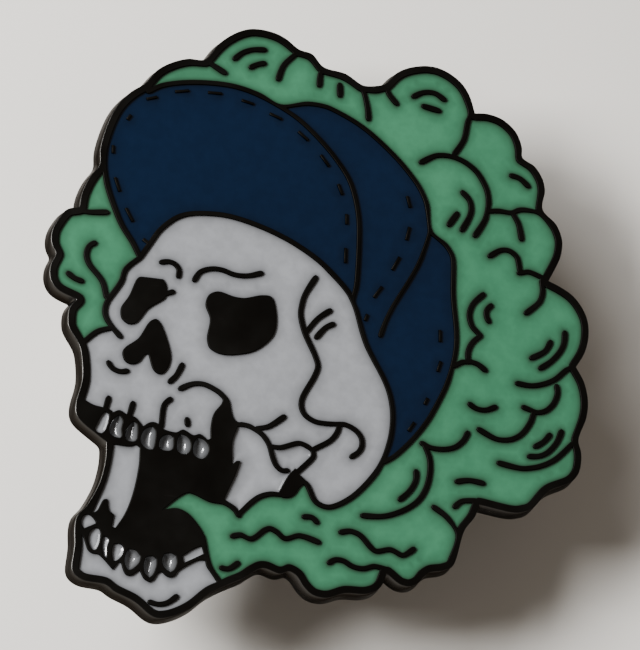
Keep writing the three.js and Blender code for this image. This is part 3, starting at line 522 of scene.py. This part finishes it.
def cloudy_enamel():
    """Fired enamel: two tones drifting into each other, painted shade beside the walls, slow waves.
    """
    tree, entry, end = group_tree(
        "cloudy enamel",
        [("Deep", 'NodeSocketColor', (0.1, 0.1, 0.1, 1)),
         ("Light", 'NodeSocketColor', (0.5, 0.5, 0.5, 1)),
         ("Painted Shade", 'NodeSocketColor', (0.05, 0.05, 0.05, 1)),
         ("Painted Shade Amount", 'NodeSocketFloat', 0.4),
         ("Rough", 'NodeSocketFloat', 0.2)],
    )
    place = add(tree, 'ShaderNodeTexCoord').outputs['Object']
    broad = noise_of(tree, place, 120, 2.0, 0.5)
    fine = noise_of(tree, place, 1500, 2.0, 0.5)
    drift = spread_of(tree, broad, 0.3, 0.7, 0.0, 1.0)
    colour = mixed(tree, drift, entry.outputs['Deep'], entry.outputs['Light'])
    speck = spread_of(tree, fine, 0.35, 0.65, 0.94, 1.05)
    grain = add(tree, 'ShaderNodeVectorMath', operation='SCALE')
    tree.links.new(colour, grain.inputs[0])
    tree.links.new(speck, grain.inputs['Scale'])
    # painted shade: the enamel is darkened beside the walls, standing in for the shade the raised
    # lines cast
    rim = maths(tree, 'MULTIPLY', attribute_of(tree, "painted_wall_shade"), entry.outputs['Painted Shade Amount'])
    final = mixed(tree, rim, grain.outputs[0], entry.outputs['Painted Shade'])
    tree.links.new(final, end.inputs['Color'])
    rough = spread_of(tree, fine, 0.3, 0.7, 0.85, 1.2)
    tree.links.new(maths(tree, 'MULTIPLY', rough, entry.outputs['Rough']), end.inputs['Roughness'])
    waves = noise_of(tree, place, 420, 1.0, 0.4)
    height = maths(tree, 'ADD', waves, maths(tree, 'MULTIPLY', fine, 0.015))
    tree.links.new(height, end.inputs['Height'])
    return tree


def worn_metal():
    """Plated metal: fine satin grain, faint hair scratches and edges polished brighter; inner
    bevels painted near-black as shade.
    """
    tree, entry, end = group_tree(
        "worn metal",
        [("Base", 'NodeSocketColor', (0.02, 0.02, 0.02, 1)),
         ("Worn", 'NodeSocketColor', (0.3, 0.3, 0.3, 1)),
         ("Wear", 'NodeSocketFloat', 0.5),
         ("Rough", 'NodeSocketFloat', 0.3),
         ("Scratches", 'NodeSocketFloat', 0.3)],
    )
    place = add(tree, 'ShaderNodeTexCoord').outputs['Object']
    broad = noise_of(tree, place, 260, 3.0, 0.6)
    fine = noise_of(tree, place, 9000, 2.0, 0.5)
    edge = attribute_of(tree, "edge")
    side = attribute_of(tree, "side")
    painted_shade_bevel = attribute_of(tree, "painted_shade_bevel")
    grained = attribute_of(tree, "grained")
    patchy = spread_of(tree, noise_of(tree, place, 700, 3.0, 0.6), 0.35, 0.65, 0.25, 1.0)
    edge_worn = maths(tree, 'MULTIPLY', edge, patchy)
    edge_worn = maths(tree, 'MULTIPLY', edge_worn, entry.outputs['Wear'])
    even = maths(tree, 'MAXIMUM', side, maths(tree, 'MULTIPLY', grained, 0.8))
    even_worn = maths(tree, 'MULTIPLY', even, entry.outputs['Wear'])
    worn = maths(tree, 'MAXIMUM', edge_worn, even_worn)
    stretch = add(tree, 'ShaderNodeMapping')
    stretch.inputs['Rotation'].default_value = (0, 0, math.radians(24))
    stretch.inputs['Scale'].default_value = (0.05, 1.0, 1.0)
    tree.links.new(place, stretch.inputs['Vector'])
    hairs = noise_of(tree, stretch.outputs[0], 14000, 1.0, 0.5)
    hair = spread_of(tree, hairs, 0.72, 0.78, 0.0, 1.0)
    where = spread_of(tree, broad, 0.5, 0.62, 0.0, 1.0)
    scratch = maths(tree, 'MULTIPLY', hair, where)
    scratch = maths(tree, 'MULTIPLY', scratch, entry.outputs['Scratches'])
    amount = maths(tree, 'MAXIMUM', worn, scratch)
    plated = mixed(tree, amount, entry.outputs['Base'], entry.outputs['Worn'])
    # painted shade: the marked inner bevels are darkened to near-black so they show no glint; below
    # they are also made rougher
    bevel_shade_amount = maths(tree, 'MULTIPLY', painted_shade_bevel, 0.93)
    tree.links.new(mixed(tree, bevel_shade_amount, plated, (0.0012, 0.0012, 0.0011, 1)), end.inputs['Color'])
    rough = spread_of(tree, broad, 0.3, 0.7, 0.8, 1.25)
    rough = maths(tree, 'MULTIPLY', rough, entry.outputs['Rough'])
    rough = maths(tree, 'ADD', rough, maths(tree, 'MULTIPLY', painted_shade_bevel, 0.3))
    tree.links.new(rough, end.inputs['Roughness'])
    satin = maths(tree, 'MULTIPLY', fine, 0.5)
    height = maths(tree, 'ADD', satin, maths(tree, 'MULTIPLY', scratch, -0.6))
    pressed = noise_of(tree, place, 3600, 1.0, 0.5)
    pressed = maths(tree, 'MULTIPLY', pressed, maths(tree, 'MULTIPLY', grained, 30.0))
    tree.links.new(maths(tree, 'ADD', height, pressed), end.inputs['Height'])
    return tree


CLOUDY = cloudy_enamel()
WORN = worn_metal()


def finish_of(name, group, values, metallic, bump, **sockets):
    """A material on one of the two groups, with the height of its grain in mm."""
    material = bpy.data.materials.new(name)
    material.use_nodes = True
    tree = material.node_tree
    shader = tree.nodes['Principled BSDF']
    look = add(tree, 'ShaderNodeGroup', node_tree=group)
    for label, value in values.items():
        look.inputs[label].default_value = value
    shader.inputs['Metallic'].default_value = metallic
    for label, value in sockets.items():
        shader.inputs[label.replace('_', ' ')].default_value = value
    tree.links.new(look.outputs['Color'], shader.inputs['Base Color'])
    tree.links.new(look.outputs['Roughness'], shader.inputs['Roughness'])
    raised = add(tree, 'ShaderNodeBump')
    raised.inputs['Distance'].default_value = bump * MM
    raised.inputs['Strength'].default_value = 1.0
    tree.links.new(look.outputs['Height'], raised.inputs['Height'])
    tree.links.new(raised.outputs['Normal'], shader.inputs['Normal'])
    return material


BLACK_NICKEL = finish_of(
    "black nickel", WORN,
    {"Base": (0.020, 0.019, 0.017, 1), "Worn": (0.13, 0.125, 0.12, 1),
     "Wear": 0.42, "Rough": 0.32, "Scratches": 0.2},
    1.0, 0.0008, Specular_Tint=(0.3, 0.29, 0.28, 1),
)
BRIGHT_STEEL = finish_of(
    "bright plated sheet", WORN,
    {"Base": (0.56, 0.56, 0.54, 1), "Worn": (0.8, 0.8, 0.78, 1),
     "Wear": 0.4, "Rough": 0.2, "Scratches": 0.4},
    1.0, 0.0015,
)
# In each enamel below, the third colour and its amount are painted shade beside the walls.
GREEN = finish_of(
    "green enamel", CLOUDY,
    {"Deep": (0.026, 0.118, 0.060, 1), "Light": (0.031, 0.132, 0.068, 1),
     "Painted Shade": (0.010, 0.026, 0.014, 1), "Painted Shade Amount": 1.0, "Rough": 0.16},
    0.0, 0.012,
)
NAVY = finish_of(
    "navy enamel", CLOUDY,
    {"Deep": (0.0007, 0.0048, 0.0150, 1), "Light": (0.0009, 0.0056, 0.0172, 1),
     "Painted Shade": (0.0003, 0.0015, 0.004, 1), "Painted Shade Amount": 0.5, "Rough": 0.16},
    0.0, 0.006, Specular_IOR_Level=0.33,
)
# painted shade: the same white enamel, painted darker for the teeth in the deepest cups, standing
# in for the shade inside them
TOOTH_SHADE_WHITE = finish_of(
    "white enamel painted dark as tooth shade", CLOUDY,
    {"Deep": (0.095, 0.097, 0.10, 1), "Light": (0.125, 0.127, 0.13, 1),
     "Painted Shade": (0.012, 0.012, 0.012, 1), "Painted Shade Amount": 0.85, "Rough": 0.08},
    0.0, 0.004,
)
WHITE = finish_of(
    "white enamel", CLOUDY,
    {"Deep": (0.175, 0.179, 0.187, 1), "Light": (0.189, 0.193, 0.202, 1),
     "Painted Shade": (0.035, 0.035, 0.036, 1), "Painted Shade Amount": 0.75, "Rough": 0.14},
    0.0, 0.012,
)
FINISHES = {"black_nickel": BLACK_NICKEL, "clutch_steel": BRIGHT_STEEL, "enamel_green": GREEN,
            "enamel_navy": NAVY, "enamel_white": WHITE}


def dress(piece, material):
    piece.data.materials.clear()
    piece.data.materials.append(material)


# ---- pin ----------------------------------------------------------------------------------------
plate = make_plate()
shade(plate, 55, weighted=True)
sand_back(plate)
dress(plate, BLACK_NICKEL)

# How far each fill climbs the walls, how deep it sags and how close its points are, in mm.
# The first key found in the node's name counts.
CUPS = {
    "upper_tooth_1": (0.04, 0.05, 0.11), "lower_tooth_1": (0.04, 0.05, 0.11),
    "lower_tooth_2": (0.04, 0.06, 0.11), "lower_tooth_3": (0.04, 0.06, 0.11),
    "lower_tooth_4": (0.05, 0.08, 0.11), "back_tooth": (0.04, 0.04, 0.11),
    "tooth": (0.10, 0.30, 0.09), "cheek": (0.05, 0.14, 0.16),
    "ramus": (0.04, 0.06, 0.16), "jaw": (0.03, 0.04, 0.2),
}
PLAIN_CUP = (0.03, 0.0, 0.4)
DEEP_CUP = 0.2

for node in sorted(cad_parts):
    if not node.startswith("enamel_"):
        continue
    creep, cup, step = next((values for key, values in CUPS.items() if key in node), PLAIN_CUP)
    fill = make_enamel(node, creep, cup, step * MM)
    shade(fill, 40)
    # fills cupped deeper than DEEP_CUP take the white enamel painted darker as shade in their cups
    dress(fill, TOOTH_SHADE_WHITE if cup > DEEP_CUP else FINISHES[enamel_slot(node)])


# ---- hardware -----------------------------------------------------------------------------------
def shape(piece):
    """Goes into edit mode on one piece alone, with nothing selected in it."""
    pick_alone(piece)
    bpy.ops.object.mode_set(mode='EDIT')
    bpy.ops.mesh.select_all(action='DESELECT')


def done():
    """Leaves edit mode."""
    bpy.ops.object.mode_set(mode='OBJECT')


def pick_edges(piece, wanted):
    """Selects, in edit mode, the edges that are wanted and no others."""
    mesh = bmesh.from_edit_mesh(piece.data)
    bpy.ops.mesh.select_mode(type='EDGE')
    bpy.ops.mesh.select_all(action='DESELECT')
    for edge in mesh.edges:
        if wanted(edge):
            edge.select_set(True)
    bmesh.update_edit_mesh(piece.data)


def soften(piece, width, degrees, segments=3):
    """Bevels every edge that is sharper than the angle."""
    shape(piece)
    limit = math.radians(degrees)
    pick_edges(piece, lambda edge: len(edge.link_faces) == 2 and edge.calc_face_angle() > limit)
    bpy.ops.mesh.bevel(offset=width, segments=segments, profile=0.5, clamp_overlap=True)
    done()


def settle(piece):
    """Puts the piece's place into its mesh and leaves the object at the origin."""
    pick_alone(piece)
    bpy.ops.object.transform_apply(location=True, rotation=True, scale=True)


def mark_edges(piece):
    """Sets the edge attribute on the narrow faces of bevels and folds, where plating wears."""
    mesh = bmesh.new()
    mesh.from_mesh(piece.data)
    layer = mesh.faces.layers.float.get("edge") or mesh.faces.layers.float.new("edge")
    for face in mesh.faces:
        bends = [edge.calc_face_angle(0) for edge in face.edges]
        face[layer] = 1.0 if sum(bend > math.radians(18) for bend in bends) >= 2 else 0.0
    mesh.to_mesh(piece.data)
    mesh.free()


def finished(piece, body, slot, node, degrees):
    """Shades, wears and dresses a piece, and says what it rides and replaces."""
    shade(piece, degrees)
    mark_edges(piece)
    dress(piece, FINISHES[slot])
    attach(piece, body)
    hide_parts(node)


def turned(name, centre, profile, sides, hollow=False):
    """A turned piece: a circle extruded ring by ring along a profile of radius and height in mm."""
    x, y = centre
    radius, height = profile[0]
    bpy.ops.object.select_all(action='DESELECT')
    bpy.ops.mesh.primitive_circle_add(
        vertices=sides, radius=radius * MM, fill_type='NOTHING' if hollow else 'NGON',
        location=(x, y, height * MM))
    piece = bpy.context.object
    piece.name = name
    settle(piece)
    shape(piece)
    pick_edges(piece, lambda edge: True)
    for wider, higher in profile[1:]:
        rise = (higher - height) * MM
        bpy.ops.mesh.extrude_edges_move(TRANSFORM_OT_translate={"value": (0, 0, rise)})
        ratio = wider / radius
        bpy.ops.transform.resize(value=(ratio, ratio, 1), center_override=(x, y, higher * MM))
        radius, height = wider, higher
    if not hollow:
        bpy.ops.mesh.edge_face_add()
    bpy.ops.mesh.select_all(action='SELECT')
    bpy.ops.mesh.remove_doubles(threshold=0.001 * MM)
    bpy.ops.mesh.normals_make_consistent(inside=False)
    done()
    return piece


def cut(piece, name, place, size, radius):
    """Cuts a rounded rectangular window right through the piece."""
    bpy.ops.object.select_all(action='DESELECT')
    bpy.ops.mesh.primitive_cube_add(size=1, location=place)
    cutter = bpy.context.object
    cutter.name = name
    cutter.scale = size
    settle(cutter)
    shape(cutter)
    pick_edges(cutter, lambda edge: abs((edge.verts[0].co - edge.verts[1].co).normalized().y) > 0.9)
    bpy.ops.mesh.bevel(offset=radius, segments=5, profile=0.5)
    done()
    modifier = piece.modifiers.new("window", 'BOOLEAN')
    modifier.operation = 'DIFFERENCE'
    modifier.object = cutter
    modifier.solver = 'EXACT'
    pick_alone(piece)
    bpy.ops.object.modifier_apply(modifier=modifier.name)
    bpy.data.objects.remove(cutter)


def sheet_piece(name, loops, step, height_at, thickness, bevel):
    """A pressed sheet: its flat outline filled, bent to height_at(x, y) and given its thickness."""
    bands = bin_edges(loops)
    tree = wall_tree(loops)
    xs = [point.x for point in loops[0]]
    ys = [point.y for point in loops[0]]
    extra = []
    for row in range(int((max(ys) - min(ys)) / step)):
        for column in range(int((max(xs) - min(xs)) / step)):
            point = Vector((min(xs) + (column + 0.5) * step, min(ys) + (row + 0.5) * step))
            if inside(bands, point) and distance_to(tree, point) > step * 0.5:
                extra.append(point)
    points, faces = covered(loops, extra)
    data = bpy.data.meshes.new(name)
    bent = [(point.x, point.y, height_at(point.x, point.y)) for point in points]
    data.from_pydata(bent, [], faces)
    piece = bpy.data.objects.new(name, data)
    bpy.context.scene.collection.objects.link(piece)
    shape(piece)
    bpy.ops.mesh.select_all(action='SELECT')
    bpy.ops.mesh.normals_make_consistent(inside=False)
    done()
    solid = piece.modifiers.new("thickness", 'SOLIDIFY')
    solid.thickness = thickness
    solid.offset = 0
    bpy.ops.object.modifier_apply(modifier=solid.name)
    rim = piece.modifiers.new("deburred edge", 'BEVEL')
    rim.width = bevel
    rim.segments = 2
    rim.limit_method = 'ANGLE'
    rim.angle_limit = math.radians(50)
    bpy.ops.object.modifier_apply(modifier=rim.name)
    return piece


def dense(points, spacing):
    """Points along a polyline, close enough to be bent smoothly."""
    drawn = []
    for index, point in enumerate(points):
        before = points[index - 1]
        steps = max(1, round((point - before).length / spacing))
        drawn += [before.lerp(point, step / steps) for step in range(steps)]
    return drawn


def make_post(node):
    """A soldered post: its point, its snap groove and the spread foot on the plate."""
    low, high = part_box(node)
    x, y = (low.x + high.x) / 2, (low.y + high.y) / 2
    tip, foot = low.z / MM, high.z / MM
    radius, wide = 0.6, (high.x - low.x) / MM / 2
    profile = [
        (0.08, tip), (0.2, tip + 0.06), (radius * 0.72, tip + 0.78), (radius - 0.03, tip + 1.14),
        (radius, tip + 1.3), (radius - 0.1, tip + 1.42), (radius - 0.12, tip + 1.6),
        (radius - 0.12, tip + 1.74), (radius - 0.1, tip + 1.9), (radius, tip + 2.0),
        (radius, foot - 0.75), (radius + 0.03, foot - 0.6), (radius + 0.13, foot - 0.44),
        (radius + 0.34, foot - 0.33), (wide * 0.8, foot - 0.27), (wide * 0.96, foot - 0.2),
        (wide, foot - 0.1), (wide, foot),
    ]
    post = turned(node.replace("post", "pin_post"), (x, y), profile, POST_SIDES)
    finished(post, "pin", "black_nickel", node, 40)


def make_disc(node, body):
    """The clutch's disc: a pressed washer with a collar round its hole and a shallow ring."""
    low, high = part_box(node)
    x, y = (low.x + high.x) / 2, (low.y + high.y) / 2
    bottom, top, wide = low.z / MM, high.z / MM, (high.x - low.x) / MM / 2
    hole, groove = HOLE_RADIUS, top - 0.09
    profile = [
        (hole, bottom), (hole, bottom + 0.16), (hole + 0.3, top), (3.2, top), (3.3, groove),
        (3.75, groove), (3.85, top), (wide, top), (wide, bottom), (hole, bottom),
    ]
    disc = turned(node + "_pressed", (x, y), profile, CLUTCH_SIDES, hollow=True)
    soften(disc, 0.03 * MM, 30, 2)
    finished(disc, body, "clutch_steel", node, 35)


def make_housing(node, body):
    """The clutch's housing: a drawn cup with a crimped rim and a window for the wings."""
    low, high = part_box(node)
    x, y = (low.x + high.x) / 2, (low.y + high.y) / 2
    rim = (high.x - low.x) / MM / 2
    lip_top = high.z / MM
    sheet, flange, shelf, lip = 0.35, 5.2, 5.53, 6.03
    profile = [
        (1.9, 0), (2.6, 1.4), (3.0, 4.6), (3.12, 4.95), (3.4, flange), (rim - 0.02, flange),
        (rim, 5.35), (rim, lip_top - 0.1), (rim - 0.12, lip_top), (rim - 0.9, lip_top),
        (rim - 1.05, lip_top - 0.1), (rim - 1.05, lip), (rim - sheet, lip), (rim - sheet, shelf),
        (3.1, shelf), (2.85, shelf - 0.2), (2.25, 1.4), (1.55, sheet),
    ]
    housing = turned(node + "_pressed", (x, y), profile, CLUTCH_SIDES)
    soften(housing, 0.11 * MM, 20, 3)
    window_place = (x, y, 2.55 * MM)
    window_size = (3.2 * MM, 8 * MM, 1.7 * MM)
    cut(housing, node + "_window", window_place, window_size, 0.35 * MM)
    finished(housing, body, "clutch_steel", node, 32)


def make_spring(node, body):
    """The clutch's spring: a strap with a hole for the post, bowed down at both ends."""
    low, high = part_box(node)
    x, y = (low.x + high.x) / 2, (low.y + high.y) / 2
    half_x, half_y = (high.x - low.x) / 2, (high.y - low.y) / 2
    thick = high.z - low.z
    corners = [Vector((x - half_x, y - half_y)), Vector((x + half_x, y - half_y)),
               Vector((x + half_x, y + half_y)), Vector((x - half_x, y + half_y))]
    radius = HOLE_RADIUS * MM
    hole = [Vector((x + radius * math.cos(-turn), y + radius * math.sin(-turn)))
            for turn in (2 * math.pi * step / 32 for step in range(32))]
    middle = (low.z + high.z) / 2
    bow = 0.3 * MM
    spring = sheet_piece(
        node + "_pressed", [dense(corners, 0.2 * MM), hole], 0.25 * MM,
        lambda px, py: middle - bow * max(0, abs((py - y) / half_y) - 0.55) ** 2, thick, 0.04 * MM)
    finished(spring, body, "clutch_steel", node, 35)


def make_wing(node, body, side, centre):
    """A wing: the jaw that hooks round the post and the paddle that fingers squeeze."""
    low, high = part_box(node)
    x, y = centre
    tip = (high.y - y) / MM if side > 0 else (y - low.y) / MM
    wide = (high.x - low.x) / MM / 2
    near, arm, jaw, behind, neck, root = 0.7, 0.82, 1.47, 1.35, 1.3, 2.8
    start = behind + 0.85
    reach = tip - root
    half = [(neck, root), (neck * 1.04, root + reach * 0.1), (wide * 0.86, root + reach * 0.33),
            (wide, root + reach * 0.6), (wide * 0.93, root + reach * 0.82),
            (wide * 0.66, root + reach * 0.95)]
    paddle = half + [(0, tip)] + [(-px, py) for px, py in reversed(half)]
    outline = [(-near, -behind), (jaw, -behind), (jaw, behind), (neck, start)] + paddle
    outline += [(-neck, start), (arm, start), (arm, -near), (-near, -near)]
    flat = [Vector((x + side * px * MM, y + side * py * MM)) for px, py in outline]
    flat = dense(rounded_loop(flat, 0.12 * MM), 0.15 * MM)
    slope = math.tan(math.radians(20))
    thick = 0.3 * MM
    level = high.z - thick / 2

    def bent(px, py):
        out = (py - y) * side / MM
        past = out - root
        ramp = 0.5 * (past + math.sqrt(past * past + 0.16)) - 0.02
        across = (px - x) / MM / wide
        dish = 0.16 * max(0.0, past / reach) * (1 - min(1.0, across * across)) if past > 0 else 0.0
        return level - (slope * max(0.0, ramp) + dish) * MM

    wing = sheet_piece(node + "_pressed", [flat], 0.2 * MM, bent, thick, 0.045 * MM)
    finished(wing, body, "clutch_steel", node, 35)


for side in ("left", "right"):
    make_post(f"post_{side}")
    clutch = f"clutch_{side}"
    low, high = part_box(f"{clutch}_housing")
    centre = ((low.x + high.x) / 2, (low.y + high.y) / 2)
    make_disc(f"{clutch}_disc", f"{clutch}_carrier")
    make_housing(f"{clutch}_housing", f"{clutch}_shell")
    make_spring(f"{clutch}_spring", f"{clutch}_shell")
    make_wing(f"{clutch}_wing_top", f"{clutch}_grip_top", 1, centre)
    make_wing(f"{clutch}_wing_bottom", f"{clutch}_grip_bottom", -1, centre)


# ---- floor, light and camera --------------------------------------------------------------------
bpy.ops.mesh.primitive_plane_add(size=1.2, location=(0, 0, 0))
floor = bpy.context.object
floor.name = "floor"
paper = bpy.data.materials.new("pale floor")
paper.use_nodes = True
paper_shader = paper.node_tree.nodes['Principled BSDF']
paper_shader.inputs['Base Color'].default_value = (0.62, 0.595, 0.55, 1)
paper_shader.inputs['Roughness'].default_value = 0.8
dress(floor, paper)


def softbox(name, place, size, power, colour):
    """A rectangular lamp that faces the middle of the pin."""
    light = bpy.data.lights.new(name, 'AREA')
    light.shape = 'RECTANGLE'
    light.size, light.size_y = size
    light.energy = power
    light.color = colour
    lamp = bpy.data.objects.new(name, light)
    lamp.location = place
    lamp.rotation_mode = 'QUATERNION'
    lamp.rotation_quaternion = (Vector((0, 0, TOP)) - Vector(place)).to_track_quat('-Z', 'Y')
    bpy.context.scene.collection.objects.link(lamp)


softbox("key softbox", (-0.225, 0.025, 0.195), (0.11, 0.09), 2.6, (0.985, 0.99, 1.0))
softbox("window", (-0.19, 0.13, 0.22), (0.14, 0.14), 0.8, (0.97, 0.98, 1.0))

world = bpy.data.worlds.new("soft room")
world.use_nodes = True
background = world.node_tree.nodes['Background']
background.inputs['Color'].default_value = (0.88, 0.78, 0.69, 1)
background.inputs['Strength'].default_value = 0.25
bpy.context.scene.world = world

TILT = math.radians(22)
TURN = math.radians(45)
CAMERA_DISTANCE = 0.230
toward = Vector((
    -math.sin(TILT) * math.cos(TURN), -math.sin(TILT) * math.sin(TURN), math.cos(TILT)))
across = Vector((0, 1, 0)).cross(toward).normalized()
up = toward.cross(across)
target = Vector((-0.285 * MM, -0.025 * MM, TOP))
camera = bpy.data.objects.new("camera", bpy.data.cameras.new("camera"))
camera.data.lens = 207.8
camera.data.sensor_width = 36
camera.data.clip_start = 0.01
camera.rotation_mode = 'QUATERNION'
camera.rotation_quaternion = Matrix((across, up, toward)).transposed().to_quaternion()
camera.location = target + toward * CAMERA_DISTANCE
bpy.context.scene.collection.objects.link(camera)
bpy.context.scene.camera = camera
